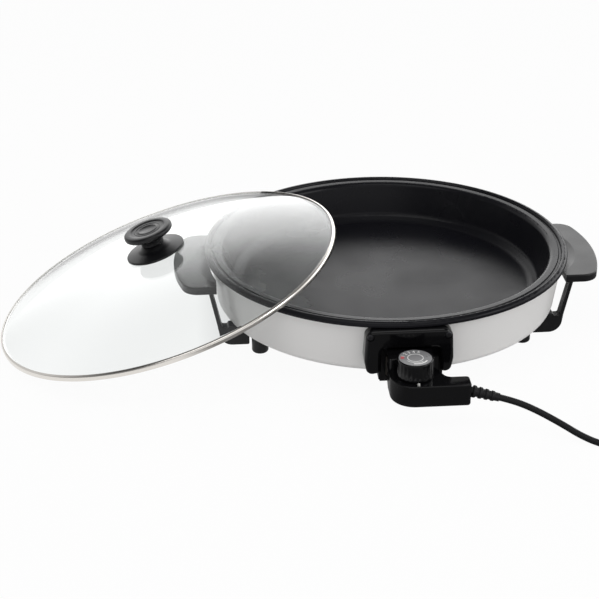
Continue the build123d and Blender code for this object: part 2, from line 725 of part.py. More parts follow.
def coil_radius(angle):
    """Radius of the coil's line: in for two turns, a half turn's climb, then out again."""
    down, climb = 360 * COIL_TURNS_DOWN, 180
    turned_by = angle - COIL_START
    inner = COIL_R - COIL_PITCH * COIL_TURNS_DOWN
    if turned_by <= down:
        return COIL_R - COIL_PITCH * turned_by / 360
    if turned_by <= down + climb:
        return inner - COIL_PITCH / 4 * sin(radians(turned_by - down))**2 * 0.5
    return inner + COIL_PITCH * (turned_by - down - climb) / 360


def coil_point(angle):
    """Place on the coil's line at an angle counted on from its start."""
    climbed = (angle - COIL_START) / 360 - COIL_TURNS_DOWN
    share = min(max(climbed * 2, 0), 1)
    rise = share * share * (3 - 2 * share)
    low = CORD_R + COIL_LIFT
    spot = Vector(COIL_X, COIL_Y, low + COIL_PITCH * rise)
    return spot + heading(angle) * coil_radius(angle)


def coil_tangent(angle):
    step = 0.5
    if abs(angle - COIL_START) < step or abs(angle - coil_end()) < step:
        return heading(angle + 90)
    return (coil_point(angle + step) - coil_point(angle - step)).normalized()


def coil_end():
    return COIL_START + 360 * (COIL_TURNS_DOWN + COIL_TURNS_UP) + 180


def biarc(start, start_way, end, end_way):
    """Two tangent arcs between two points with given directions."""
    gap = end - start
    both = start_way + end_way
    square = 2 * (1 - start_way.dot(end_way))
    reach = (-gap.dot(both) + sqrt(gap.dot(both) ** 2 + square * gap.dot(gap))) / square
    middle = (start + end + (start_way - end_way) * reach) / 2
    first = Edge.make_tangent_arc(start, start_way, middle)
    return [first, Edge.make_tangent_arc(middle, first % 1, end)]


def coil_line():
    """The coil's line: a straight end, quarter turns of two arcs each, and a straight end."""
    start, end = COIL_START, coil_end()
    lead = 2 * CORD_R
    edges = [Edge.make_line(coil_point(start) - heading(start + 90) * lead, coil_point(start))]
    quarters = ceil((end - start) / 90)
    for index in range(quarters):
        here = start + 90 * index
        there = min(here + 90, end)
        edges += biarc(coil_point(here), coil_tangent(here), coil_point(there), coil_tangent(there))
    edges.append(Edge.make_line(coil_point(end), coil_point(end) + heading(end + 90) * lead))
    return edges


def tube(line):
    """Round cord along a wire."""
    path = Wire(line)
    section = Plane(origin=path @ 0, z_dir=path % 0) * Circle(CORD_R)
    return sweep(section, path=path)


def print_coil_gap(edges):
    """Least clear space between turns, measured on points along the line."""
    points, travelled, total = [], [], 0.0
    for edge in edges:
        count = max(2, ceil(edge.length / 3))
        for index in range(count):
            points.append(tuple(edge @ (index / count)))
            travelled.append(total + edge.length * index / count)
        total += edge.length
    least = min(
        dist(points[i], points[j])
        for i in range(len(points))
        for j in range(i)
        if travelled[i] - travelled[j] > 12 * CORD_R
    )
    print(f"coil: {total:.0f} mm of cord, least gap {least - 2 * CORD_R:.2f} mm")


def route_before_coil():
    """Corners of the free stretch from the relief down to the table and on to the coil."""
    tangent = heading(COIL_START + 90)
    entry = coil_point(COIL_START)
    exit_point = relief_point(RELIEF_LENGTH)
    return [
        exit_point,
        exit_point + RELIEF_AIM * 17,
        Vector(124, -274.5, 25),
        Vector(148, -288.5, 15.5),
        Vector(166.5, -299, 6.5),
        Vector(185, -312.5, CORD_R + 0.05),
        entry - tangent * 25,
        entry - tangent * 2 * CORD_R,
    ]


def route_after_coil():
    """Corners of the short tail from the coil up into the plug."""
    start = coil_point(coil_end()) + heading(coil_end() + 90) * 2 * CORD_R
    second = start + heading(coil_end() + 90) * 16
    return [start, second, Vector(303.5, -266, PLUG_R + 0.1), Vector(304.5, -250, PLUG_R + 0.1)]


def rounded_route(name, corners):
    """Straight runs joined by the largest arcs that their runs allow."""
    radii = []
    for before, corner, after in zip(corners, corners[1:], corners[2:]):
        turn = radians((corner - before).get_angle(after - corner))
        shorter = min((corner - before).length, (after - corner).length)
        radii.append(0.45 * shorter / tan(turn / 2))
    print(name, "radii", [round(radius, 1) for radius in radii])
    return FilletPolyline(*corners, radius=radii).edges()


def checked_tube(name, edges):
    """A tube whose volume is compared with its section times its length."""
    solid = tube(edges)
    length = sum(edge.length for edge in edges)
    print(f"{name}: {length:.0f} mm, volume ratio {solid.volume / (pi * CORD_R**2 * length):.4f}")
    return solid


def cord_tie():
    """Strap round the coil's bundle of turns."""
    passes = []
    angle = TIE_ANGLE
    while angle <= coil_end():
        if angle >= COIL_START:
            passes.append(coil_radius(angle))
        angle += 360
    inner, outer = min(passes) - CORD_R - 1.0, max(passes) + CORD_R + 1.0
    low, high = COIL_LIFT - 0.35, COIL_LIFT + 2 * CORD_R + COIL_PITCH + 0.5
    strap = 0.65
    ring = outline(
        (inner - strap, low - strap, 3), (outer + strap, low - strap, 3),
        (outer + strap, high + strap, 3), (inner - strap, high + strap, 3),
    )
    ring -= outline((inner, low, 2.4), (outer, low, 2.4), (outer, high, 2.4), (inner, high, 2.4))
    strap_solid = extrude(Plane.XZ * ring, 4.5, both=True)
    return Pos(COIL_X, COIL_Y, 0) * Rot(0, 0, TIE_ANGLE) * strap_solid


def plug_plane():
    """Plug lying on its side: its back where the tail ends, its pins onward."""
    corners = route_after_coil()
    return Plane(origin=corners[-1], z_dir=corners[-1] - corners[-2], x_dir=(0, 0, 1))


def plug_body():
    """Moulded mains plug: slim grip, broad round face with two flats for the earth clips."""
    body = turned(
        (0, 0), (6.0, 0, 1.5), (7.2, 14, 8), (13.5, 20, 8), (PLUG_R - 2.2, 32, 6), (PLUG_R, 34, 1.5),
        (PLUG_R, PLUG_LENGTH, 1.5), (0, PLUG_LENGTH),
    )
    for side in (-1, 1):
        body -= Pos(0, side * (PLUG_R + 3.4), PLUG_LENGTH - 4) * Box(8.6, 10, 16)
        body -= rod(PLUG_ROOT_R, (side * 9.5, 0, PLUG_LENGTH - 12), (side * 9.5, 0, PLUG_LENGTH + 1))
    return plug_plane() * body


def plug_pins():
    """Plated pins on slimmer roots that are moulded into the plug."""
    pins = []
    for side in (-1, 1):
        end = PLUG_LENGTH + PLUG_PIN_REACH
        pin = disc(PLUG_PIN_R, PLUG_LENGTH + PLUG_ROOT_REACH, end, side * 9.5)
        pin = fillet(pin.faces().sort_by(Axis.Z)[-1].edges(), 1.6)
        pin += disc(PLUG_ROOT_R, PLUG_LENGTH - 12, PLUG_LENGTH + PLUG_ROOT_REACH, side * 9.5)
        pins.append(plug_plane() * pin)
    return pins


def plug_earth_clips():
    """Two brass springs lying in the plug's side grooves."""
    clips = []
    for side in (-1, 1):
        clip = Pos(0, side * (PLUG_R - 1.0), PLUG_LENGTH - 4) * Box(7.4, 1.0, 15)
        clips.append(plug_plane() * clip)
    return clips


# Assembly


def assembled():
    """Every piece under its name, about the pan's axis."""
    lean = lid_place()
    right = handle()
    coil = coil_line()
    print_coil_gap(coil)
    run = rounded_route("cord run", route_before_coil())
    tail = rounded_route("cord tail", route_after_coil())
    return {
        "pan_vessel": pan_vessel(),
        "outer_body": outer_body(),
        "base_plate": base_plate(),
        "pan_pillars": pan_pillars(),
        "heat_reflector": heat_reflector(),
        "heating_element": heating_element(),
        "element_clamps": element_clamps(),
        "clamp_rivets": clamp_rivets(),
        "probe_holder": probe_holder(),
        "feet": feet(),
        "foot_screws": foot_screws(),
        "handle_right": right,
        "handle_left": mirror(right, about=Plane.YZ),
        "handle_screws": handle_screws(),
        "handle_nuts": handle_nuts(),
        "socket_housing": socket_housing(),
        "socket_screws": socket_screws(),
        "terminal_block": terminal_block(),
        "terminal_pins": terminal_pins(),
        "earth_clip": earth_clip(),
        "lid_glass": lean * lid_glass(),
        "lid_band": lean * lid_band(),
        "knob_base": lean * knob_base(),
        "knob": lean * knob(),
        "knob_washer": lean * knob_washer(),
        "knob_screw": lean * knob_screw(),
        "thermostat_upper": thermostat_upper(),
        "thermostat_lower": thermostat_lower(),
        "thermostat_screws": housing_screws(),
        "contact_carrier": contact_carrier(),
        "contact_sleeves": contact_sleeves(),
        "probe_tube": probe_tube(),
        "probe_rod": probe_rod(),
        "switch_block": switch_block(),
        "switch_blade": switch_blade(),
        "pilot_lens": pilot_lens(),
        "inner_leads": inner_leads(),
        "dial": dial(),
        "dial_shaft": dial_shaft(),
        "dial_face": dial_face(),
        "strain_relief": strain_relief(),
        "cord_run": checked_tube("cord run", run),
        "cord_coil": checked_tube("cord coil", coil),
        "cord_tail": checked_tube("cord tail", tail),
        "cord_tie": cord_tie(),
        "plug_body": plug_body(),
        "plug_pins": plug_pins(),
        "plug_earth_clips": plug_earth_clips(),
    }


ON_THE_LEAD = (
    "cord_run", "cord_coil", "cord_tail", "cord_tie", "plug_body", "plug_pins", "plug_earth_clips",
)


def main():
    """Write every piece, with the origin under the middle of the footprint without the lead."""
    os.makedirs("parts", exist_ok=True)
    pieces = {
        name: piece if isinstance(piece, list) else [piece] for name, piece in assembled().items()
    }
    standing = [solid for name, piece in pieces.items() if name not in ON_THE_LEAD for solid in piece]
    boxes = [solid.bounding_box() for solid in standing]
    shift_x = -(min(box.min.X for box in boxes) + max(box.max.X for box in boxes)) / 2
    shift_y = -(min(box.min.Y for box in boxes) + max(box.max.Y for box in boxes)) / 2
    print(f"pan axis at ({shift_x:.3f}, {shift_y:.3f})")
    for name, piece in pieces.items():
        moved = [Pos(shift_x, shift_y, 0) * solid for solid in piece]
        export_step(moved[0] if len(moved) == 1 else Compound(children=moved), f"parts/{name}.step")


main()
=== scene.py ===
import math

import bpy
from mathutils import Matrix, Vector


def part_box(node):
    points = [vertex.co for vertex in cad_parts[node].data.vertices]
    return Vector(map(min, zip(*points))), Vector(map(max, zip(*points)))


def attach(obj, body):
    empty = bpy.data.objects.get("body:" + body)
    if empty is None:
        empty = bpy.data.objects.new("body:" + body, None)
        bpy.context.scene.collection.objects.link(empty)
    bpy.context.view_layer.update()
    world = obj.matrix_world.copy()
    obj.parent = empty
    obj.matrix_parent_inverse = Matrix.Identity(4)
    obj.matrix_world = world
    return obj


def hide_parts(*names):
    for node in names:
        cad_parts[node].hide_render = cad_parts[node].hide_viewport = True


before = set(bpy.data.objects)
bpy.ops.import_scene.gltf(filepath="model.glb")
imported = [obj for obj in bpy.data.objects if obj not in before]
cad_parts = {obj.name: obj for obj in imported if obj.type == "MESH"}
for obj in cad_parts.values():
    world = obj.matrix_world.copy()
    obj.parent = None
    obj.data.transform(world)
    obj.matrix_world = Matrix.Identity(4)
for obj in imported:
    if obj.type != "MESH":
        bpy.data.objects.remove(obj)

scene = bpy.context.scene
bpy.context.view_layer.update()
pan_low, pan_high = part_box("pan_vessel")
pan_axis = Vector(((pan_low[0] + pan_high[0]) / 2, (pan_low[1] + pan_high[1]) / 2, 0.0))
bpy.ops.object.select_all(action="DESELECT")


# Camera
# It looks down 26 degrees on the pan, turned a little to the right and tipped half a degree,
# as the rim, the two handles and the lid's steel band show it.

SENSOR_MM = 36.0
FOCAL_PIXELS = 1500.0
PHOTO_PIXELS = 599.0
CAMERA_SPOT = Vector((-0.206166, -1.588298, 0.80676))
CAMERA_TURN, CAMERA_PITCH, CAMERA_ROLL = -3.8, 63.909, -0.55

camera_data = bpy.data.cameras.new("camera")
camera_data.sensor_width = SENSOR_MM
camera_data.lens = SENSOR_MM * FOCAL_PIXELS / PHOTO_PIXELS
camera = bpy.data.objects.new("camera", camera_data)
scene.collection.objects.link(camera)
camera.matrix_world = (
    Matrix.Translation(pan_axis + CAMERA_SPOT)
    @ Matrix.Rotation(math.radians(CAMERA_TURN), 4, "Z")
    @ Matrix.Rotation(math.radians(CAMERA_PITCH), 4, "X")
    @ Matrix.Rotation(math.radians(CAMERA_ROLL), 4, "Z")
)
scene.camera = camera


# Mains lead
# One round rubber-jacketed lead from the thermostat's boot down to the table, where its spare
# length is wound in a neat coil under a strap, and a short tail that ends in the plug.

CORD_R = 0.0035
BOOT_LENGTH = 0.031
COIL_R = 0.0456
COIL_PITCH = 0.0078
COIL_START = 248.0
COIL_LOW = 0.0046
COIL_IN, COIL_UP, COIL_OUT = 720, 180, 630
COIL_STEP = 15
relief_aim = Vector((0.962, -0.085, -0.258)).normalized()
relief_start = Vector((0.057, -0.2603, 0.0433)) + pan_axis
coil_centre = Vector((0.250, -0.291, 0.0)) + pan_axis


def coil_spot(turned):
    """Place on the coil's line after that many degrees: in for two turns, up, and out again."""
    inner = COIL_R - COIL_PITCH * COIL_IN / 360
    climb = min(max((turned - COIL_IN) / COIL_UP, 0), 1)
    if turned <= COIL_IN:
        radius = COIL_R - COIL_PITCH * turned / 360
    elif turned <= COIL_IN + COIL_UP:
        radius = inner - COIL_PITCH / 8 * math.sin(math.radians(turned - COIL_IN)) ** 2
    else:
        radius = inner + COIL_PITCH * (turned - COIL_IN - COIL_UP) / 360
    angle = math.radians(COIL_START + turned)
    rise = COIL_LOW + COIL_PITCH * climb * climb * (3 - 2 * climb)
    return coil_centre + Vector((math.cos(angle) * radius, math.sin(angle) * radius, rise))


def ahead(degrees):
    """Direction along the table at an angle in degrees."""
    return Vector((math.cos(math.radians(degrees)), math.sin(math.radians(degrees)), 0.0))


cord_exit = relief_start + relief_aim * BOOT_LENGTH
coil_turned = COIL_IN + COIL_UP + COIL_OUT
coil_leaves = COIL_START + coil_turned + 90
coil_first = coil_spot(0)
coil_last = coil_spot(coil_turned)
route = [
    cord_exit,
    cord_exit + relief_aim * 0.017,
    Vector((0.124, -0.2745, 0.025)) + pan_axis,
    Vector((0.148, -0.2885, 0.0155)) + pan_axis,
    Vector((0.1665, -0.299, 0.0065)) + pan_axis,
    Vector((0.185, -0.3125, 0.00355)) + pan_axis,
    coil_first - ahead(COIL_START + 90) * 0.025,
    coil_first - ahead(COIL_START + 90) * 0.007,
]
route += [coil_spot(turned) for turned in range(0, coil_turned + 1, COIL_STEP)]
route += [
    coil_last + ahead(coil_leaves) * 0.007,
    coil_last + ahead(coil_leaves) * 0.023,
    Vector((0.3035, -0.266, 0.0183)) + pan_axis,
    Vector((0.3045, -0.250, 0.0183)) + pan_axis,
]
cord_curve = bpy.data.curves.new("mains_lead", "CURVE")
cord_curve.dimensions = "3D"
cord_curve.resolution_u = 6
cord_curve.bevel_depth = CORD_R
cord_curve.bevel_resolution = 5
cord_curve.use_fill_caps = True
spline = cord_curve.splines.new("NURBS")
spline.points.add(len(route) - 1)
for point, place in zip(spline.points, route):
    point.co = (*place, 1.0)
spline.order_u = 3
spline.use_endpoint_u = True
mains_lead = bpy.data.objects.new("mains_lead", cord_curve)
scene.collection.objects.link(mains_lead)


def new_material(name, **values):
    """A material with one Principled shader, its plain numbers set on its own sockets."""
    material = bpy.data.materials.new(name)
    material.use_nodes = True
    shader = material.node_tree.nodes["Principled BSDF"]
    for socket, value in values.items():
        shader.inputs[socket.replace("_", " ")].default_value = value
    return material, shader


def moulded_grain_group():
    """Node group: a fine grain as a normal, and a slow cloudiness between two values."""
    group = bpy.data.node_groups.new("surface grain", "ShaderNodeTree")
    for name, kind, start in (
        ("Grain Size", "NodeSocketFloat", 1500.0), ("Grain Depth", "NodeSocketFloat", 0.00002),
        ("Cloud Size", "NodeSocketFloat", 20.0), ("Low", "NodeSocketFloat", 0.3),
        ("High", "NodeSocketFloat", 0.4),
    ):
        socket = group.interface.new_socket(name, in_out="INPUT", socket_type=kind)
        socket.default_value = start
    group.interface.new_socket("Normal", in_out="OUTPUT", socket_type="NodeSocketVector")
    group.interface.new_socket("Value", in_out="OUTPUT", socket_type="NodeSocketFloat")
    nodes, links = group.nodes, group.links
    given, result = nodes.new("NodeGroupInput"), nodes.new("NodeGroupOutput")
    place = nodes.new("ShaderNodeTexCoord")
    grain, cloud = nodes.new("ShaderNodeTexNoise"), nodes.new("ShaderNodeTexNoise")
    bump, spread = nodes.new("ShaderNodeBump"), nodes.new("ShaderNodeMapRange")
    grain.inputs["Detail"].default_value = 2.0
    cloud.inputs["Detail"].default_value = 4.0
    spread.inputs["From Min"].default_value = 0.3
    spread.inputs["From Max"].default_value = 0.7
    links.new(place.outputs["Object"], grain.inputs["Vector"])
    links.new(place.outputs["Object"], cloud.inputs["Vector"])
    links.new(given.outputs["Grain Size"], grain.inputs["Scale"])
    links.new(given.outputs["Cloud Size"], cloud.inputs["Scale"])
    links.new(grain.outputs["Fac"], bump.inputs["Height"])
    links.new(given.outputs["Grain Depth"], bump.inputs["Distance"])
    links.new(cloud.outputs["Fac"], spread.inputs["Value"])
    links.new(given.outputs["Low"], spread.inputs["To Min"])
    links.new(given.outputs["High"], spread.inputs["To Max"])
    links.new(bump.outputs["Normal"], result.inputs["Normal"])
    links.new(spread.outputs["Result"], result.inputs["Value"])
    return group


surface_grain = moulded_grain_group()


def add_grain(material, shader, size, depth, low, high, cloud=20.0):
    """Puts the grain's normal and its cloudy roughness on a material."""
    tree = material.node_tree
    grain = tree.nodes.new("ShaderNodeGroup")
    grain.node_tree = surface_grain
    grain.inputs["Grain Size"].default_value = size
    grain.inputs["Grain Depth"].default_value = depth
    grain.inputs["Cloud Size"].default_value = cloud
    grain.inputs["Low"].default_value = low
    grain.inputs["High"].default_value = high
    tree.links.new(grain.outputs["Normal"], shader.inputs["Normal"])
    tree.links.new(grain.outputs["Value"], shader.inputs["Roughness"])


def finish_node(name, material):
    """Gives a built node this object's own finish."""
    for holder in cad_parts[name].material_slots:
        holder.material = material


cord_jacket, shader = new_material("lead jacket", Base_Color=(0.007, 0.007, 0.008, 1))
shader.inputs["Specular IOR Level"].default_value = 0.25
add_grain(cord_jacket, shader, 1800.0, 0.00003, 0.42, 0.52, 60.0)
cord_curve.materials.append(cord_jacket)
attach(mains_lead, "thermostat")
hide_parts("cord_run", "cord_coil", "cord_tail")


# Plug, strap and boot
# The plug is moulded on in one shot of the lead's own rubber, with nickelled pins and two brass
# earth springs in its side grooves. The strap round the coil is silicone.

finish_node("strain_relief", cord_jacket)
plug_rubber, shader = new_material("plug rubber", Base_Color=(0.02, 0.02, 0.021, 1))
add_grain(plug_rubber, shader, 1100.0, 0.00004, 0.38, 0.5, 40.0)
finish_node("plug_body", plug_rubber)
nickel, shader = new_material("nickelled pin", Base_Color=(0.72, 0.7, 0.66, 1), Metallic=1.0)
add_grain(nickel, shader, 2200.0, 0.000006, 0.16, 0.26, 90.0)
finish_node("plug_pins", nickel)
brass, shader = new_material("spring brass", Base_Color=(0.72, 0.52, 0.22, 1), Metallic=1.0)
add_grain(brass, shader, 1800.0, 0.000008, 0.24, 0.36, 70.0)
finish_node("plug_earth_clips", brass)
silicone, shader = new_material("black silicone", Base_Color=(0.03, 0.03, 0.032, 1))
add_grain(silicone, shader, 900.0, 0.00003, 0.5, 0.62, 50.0)
finish_node("cord_tie", silicone)


# Pan
# Cast aluminium, turned on its rim, and sprayed inside and out with a dark non-stick coating
# whose fine pebbled skin spreads highlights into a soft sheen.

non_stick, shader = new_material("non-stick coating", Base_Color=(0.006, 0.006, 0.008, 1))
shader.inputs["Specular IOR Level"].default_value = 0.16
add_grain(non_stick, shader, 1300.0, 0.00004, 0.24, 0.34, 14.0)
finish_node("pan_vessel", non_stick)


# Body
# Deep-drawn steel sheet, rolled in at the bottom and powder-painted a glossy neutral white with
# a faint orange peel. It hangs from the pan's skirt and is closed below by the base plate.

white_paint, shader = new_material("white paint", Base_Color=(0.86, 0.85, 0.84, 1))
add_grain(white_paint, shader, 260.0, 0.00002, 0.28, 0.36, 10.0)
finish_node("outer_body", white_paint)


# Base plate, reflector, pillars and small steel parts
# Galvanised sheet with its faint spangle, a bright rolled reflector above it, and zinc-plated
# hexagon pillars, screws, nuts and straps that hold the pan, element and handles.

galvanised, shader = new_material(
    "galvanised sheet", Base_Color=(0.55, 0.56, 0.58, 1), Metallic=1.0
)
add_grain(galvanised, shader, 500.0, 0.00002, 0.28, 0.5, 90.0)
finish_node("base_plate", galvanised)
reflector_sheet, shader = new_material(
    "reflector sheet", Base_Color=(0.8, 0.81, 0.82, 1), Metallic=1.0
)
add_grain(reflector_sheet, shader, 900.0, 0.00001, 0.16, 0.28, 30.0)
finish_node("heat_reflector", reflector_sheet)
zinc, shader = new_material("zinc plate", Base_Color=(0.6, 0.61, 0.63, 1), Metallic=1.0)
add_grain(zinc, shader, 1900.0, 0.00001, 0.25, 0.4, 120.0)
for name in (
    "pan_pillars", "element_clamps", "foot_screws", "handle_screws", "handle_nuts", "knob_screw",
    "thermostat_screws", "dial_shaft",
):
    finish_node(name, zinc)


# Element and probe holder
# The element is a steel tube packed with powder, dulled brown where it runs hottest. The probe
# holder is a plain aluminium casting, and the straps' rivets are soft bright aluminium.

sheath, shader = new_material("element sheath", Base_Color=(0.33, 0.3, 0.27, 1), Metallic=1.0)
add_grain(sheath, shader, 1500.0, 0.00002, 0.35, 0.55, 25.0)
finish_node("heating_element", sheath)
cast_aluminium, shader = new_material(
    "plain casting", Base_Color=(0.66, 0.66, 0.67, 1), Metallic=1.0
)
add_grain(cast_aluminium, shader, 1100.0, 0.00004, 0.4, 0.55, 60.0)
finish_node("probe_holder", cast_aluminium)
finish_node("clamp_rivets", reflector_sheet)


# Feet and handles
# Pressed phenolic with a satin skin. Each handle is an ear on two struts whose arms run in
# under the body, where a screw and nut hold each arm. The feet are screwed to the pillars.

phenolic, shader = new_material("satin phenolic", Base_Color=(0.005, 0.005, 0.006, 1))
shader.inputs["Specular IOR Level"].default_value = 0.36
add_grain(phenolic, shader, 1500.0, 0.00003, 0.3, 0.38, 25.0)
for name in ("feet", "handle_right", "handle_left"):
    finish_node(name, phenolic)


# Socket
# A phenolic guard screwed to the body, with a brown ceramic block behind its recess. Nickelled
# pins stand out of the block, and a brass spring over it earths the thermostat.

glossy_black, shader = new_material("glossy moulding", Base_Color=(0.003, 0.003, 0.0035, 1))
shader.inputs["Specular IOR Level"].default_value = 0.25
add_grain(glossy_black, shader, 1400.0, 0.000004, 0.06, 0.12, 25.0)
finish_node("socket_housing", glossy_black)
blackened, shader = new_material("blackened screw", Base_Color=(0.06, 0.06, 0.065, 1), Metallic=1.0)
add_grain(blackened, shader, 1900.0, 0.00001, 0.35, 0.5, 120.0)
finish_node("socket_screws", blackened)
ceramic, shader = new_material("white ceramic", Base_Color=(0.8, 0.77, 0.7, 1))
add_grain(ceramic, shader, 1300.0, 0.00003, 0.5, 0.65, 60.0)
finish_node("switch_block", ceramic)
steatite, shader = new_material("brown steatite", Base_Color=(0.03, 0.024, 0.02, 1))
add_grain(steatite, shader, 1300.0, 0.00003, 0.5, 0.65, 60.0)
finish_node("terminal_block", steatite)
finish_node("terminal_pins", nickel)
finish_node("earth_clip", brass)


# Lid glass
# Tempered clear glass, pressed to a shallow dome with a flat edge, with the faint green of its
# thickness and hardly any distortion. It leans with its low edge on the table.

POLE_GAP = 0.000002
SMOOTH_ANGLE = 38


def turned_piece(name, profile, sides, ring=False):
    """Closed piece turned about Z: a disc or a ring through each (radius, height) in mm."""
    bpy.ops.object.select_all(action="DESELECT")
    radius, height = profile[0]
    bpy.ops.mesh.primitive_circle_add(
        vertices=sides, radius=radius / 1000, fill_type="NOTHING" if ring else "NGON",
        location=(0, 0, height / 1000),
    )
    piece = bpy.context.active_object
    piece.name = name
    bpy.ops.object.transform_apply(location=True, rotation=True, scale=True)
    bpy.ops.object.mode_set(mode="EDIT")
    bpy.ops.mesh.select_all(action="SELECT")
    for next_radius, next_height in profile[1:] + (profile[:1] if ring else []):
        grow = next_radius / radius
        bpy.ops.mesh.extrude_region_move(
            TRANSFORM_OT_translate={"value": (0, 0, (next_height - height) / 1000)}
        )
        bpy.ops.transform.resize(value=(grow, grow, 1), center_override=(0, 0, 0))
        radius, height = next_radius, next_height
    bpy.ops.mesh.select_all(action="SELECT")
    bpy.ops.mesh.remove_doubles(threshold=POLE_GAP)
    bpy.ops.mesh.normals_make_consistent(inside=False)
    bpy.ops.object.mode_set(mode="OBJECT")
    bpy.ops.object.shade_smooth_by_angle(angle=math.radians(SMOOTH_ANGLE))
    return piece


def set_in_place(piece, place):
    """Moves a finished piece's mesh to its place, so that its object stays at the origin."""
    bpy.ops.object.select_all(action="DESELECT")
    piece.select_set(True)
    bpy.context.view_layer.objects.active = piece
    piece.matrix_world = place
    bpy.ops.object.transform_apply(location=True, rotation=True, scale=True)


LID_TILT = math.radians(17.13)
LID_LEAN = math.radians(181.0)
LID_REACH = 0.450
LID_RISE = 0.0003
LID_R = 0.2048
lean = Vector((math.cos(LID_LEAN), math.sin(LID_LEAN), 0.0))
upright = Vector((0.0, 0.0, 1.0))
lid_up = lean * math.sin(LID_TILT) + upright * math.cos(LID_TILT)
lid_across = lean.cross(upright)
lid_centre = pan_axis + lean * (LID_REACH - LID_R * math.cos(LID_TILT))
lid_centre.z = LID_RISE + LID_R * math.sin(LID_TILT)
lid_place = Matrix((lid_across, lid_up.cross(lid_across), lid_up)).transposed().to_4x4()
lid_place.translation = lid_centre

DOME_H = 42.0
GLASS = 4.0
SHOULDER_R, SHOULDER_Z = 197.6, 6.6
EDGE_R, EDGE_Z = 202.5, 1.3
HOLE_R = 3.0
ARC_STEPS = 26


def dome_points(apex, shoulder_r, shoulder_z):
    """Points on the arc from the hole to the shoulder, in mm."""
    rise = apex - shoulder_z
    sphere = (shoulder_r**2 + rise**2) / (2 * rise)
    radii = [HOLE_R + (shoulder_r - HOLE_R) * step / ARC_STEPS for step in range(ARC_STEPS + 1)]
    return [(r, apex - sphere + math.sqrt(sphere**2 - r**2)) for r in radii]


under = dome_points(DOME_H - GLASS, SHOULDER_R - 2.0, SHOULDER_Z - GLASS)
over = dome_points(DOME_H, SHOULDER_R, SHOULDER_Z)
edge_top = EDGE_Z + GLASS
edge_line = [
    (SHOULDER_R - 0.4, EDGE_Z + 0.6), (SHOULDER_R + 0.6, EDGE_Z + 0.2), (SHOULDER_R + 1.8, EDGE_Z),
    (EDGE_R - 0.5, EDGE_Z), (EDGE_R, EDGE_Z + 0.5), (EDGE_R, edge_top - 0.5),
    (EDGE_R - 0.5, edge_top), (SHOULDER_R + 3.9, edge_top), (SHOULDER_R + 2.7, edge_top + 0.2),
    (SHOULDER_R + 1.4, edge_top + 0.65),
]
glass = turned_piece("lid_glass_dome", under + edge_line + over[::-1], 192, ring=True)
set_in_place(glass, lid_place)
clear_glass, shader = new_material(
    "lid glass", Base_Color=(0.955, 0.972, 0.966, 1), Roughness=0.0, IOR=1.5
)
shader.inputs["Transmission Weight"].default_value = 1.0
shader.inputs["Specular IOR Level"].default_value = 0.35
glass.data.materials.append(clear_glass)
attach(glass, "lid")
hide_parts("lid_glass")


# Lid band
# Thin polished stainless steel, folded round the glass edge and rolled over at the top. The
# heights of its profile are counted from the lid's foot, as the glass's are.

band_steel, shader = new_material(
    "rolled steel band", Base_Color=(0.74, 0.71, 0.67, 1), Metallic=1.0
)
add_grain(band_steel, shader, 700.0, 0.00001, 0.14, 0.24, 18.0)
BAND_SHAPE = [
    (204.0, 0.0), (204.6, 0.0), (204.8, 0.2), (204.8, 3.0), (204.7, 3.7), (204.5, 4.4),
    (204.2, 4.95), (203.7, 5.4), (202.9, 5.85), (201.9, 6.18), (201.8, 6.1), (201.8, 5.5),
    (201.9, 5.4), (203.2, 5.3), (203.7, 4.8), (204.0, 4.2), (204.0, 1.2), (201.9, 1.2),
    (201.8, 1.1), (201.8, 0.7), (201.9, 0.6), (204.0, 0.6),
]
band = turned_piece("lid_band_rolled", BAND_SHAPE, 256, ring=True)
set_in_place(band, lid_place)
band.data.materials.append(band_steel)
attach(band, "lid")
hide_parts("lid_band")


# Knob
# Phenolic spool with a broad grip, screwed through the glass from below onto a flared guard,
# with a soft washer between. Its heights are counted from the glass dome's top.

KNOB_SHAPE = [
    (2.3, 22.0), (2.3, 9.1), (12.6, 9.1), (13.2, 9.7), (13.2, 14.4), (13.9, 16.6), (15.6, 18.2),
    (18.4, 19.6), (21.8, 20.3), (25.2, 20.7), (27.2, 21.4), (28.2, 22.4), (28.6, 23.8),
    (28.6, 25.4), (28.2, 26.6), (27.2, 27.4), (25.6, 27.8), (23.2, 28.0), (21.2, 28.0),
    (20.5, 27.8), (20.0, 27.1), (19.5, 26.9), (15.9, 26.9), (15.5, 27.25), (14.7, 27.25),
    (14.3, 26.9), (11.4, 26.9), (11.0, 27.2), (10.2, 27.2), (9.8, 26.9), (0.6, 26.9),
]
knob = turned_piece("knob_grip", [(r, DOME_H + above) for r, above in KNOB_SHAPE], 96)
set_in_place(knob, lid_place)
knob.data.materials.append(phenolic)
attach(knob, "lid")
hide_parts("knob")
finish_node("knob_base", phenolic)
finish_node("knob_washer", silicone)


# Thermostat
# Two glossy moulded shells joined by screws from below. They hold the carrier with its brass
# sleeves, the steel probe, the switch and its leads, and a clear light pipe by the dial.

for name in ("thermostat_upper", "thermostat_lower"):
    finish_node(name, glossy_black)
finish_node("contact_carrier", phenolic)
for name in ("contact_sleeves", "switch_blade"):
    finish_node(name, brass)
probe_steel, shader = new_material("probe steel", Base_Color=(0.66, 0.65, 0.63, 1), Metallic=1.0)
add_grain(probe_steel, shader, 1600.0, 0.00001, 0.2, 0.3, 60.0)
for name in ("probe_tube", "probe_rod"):
    finish_node(name, probe_steel)
finish_node("inner_leads", silicone)
lens_clear, shader = new_material("light pipe", Base_Color=(0.93, 0.93, 0.9, 1), Roughness=0.05)
shader.inputs["Transmission Weight"].default_value = 0.6
finish_node("pilot_lens", lens_clear)


# Dial
# Moulded in the same glossy black, and pushed on the switch's shaft. Its side has shallow grip
# flutes between a plain foot and a thin lip, and a printed grey disc is laid in its top.

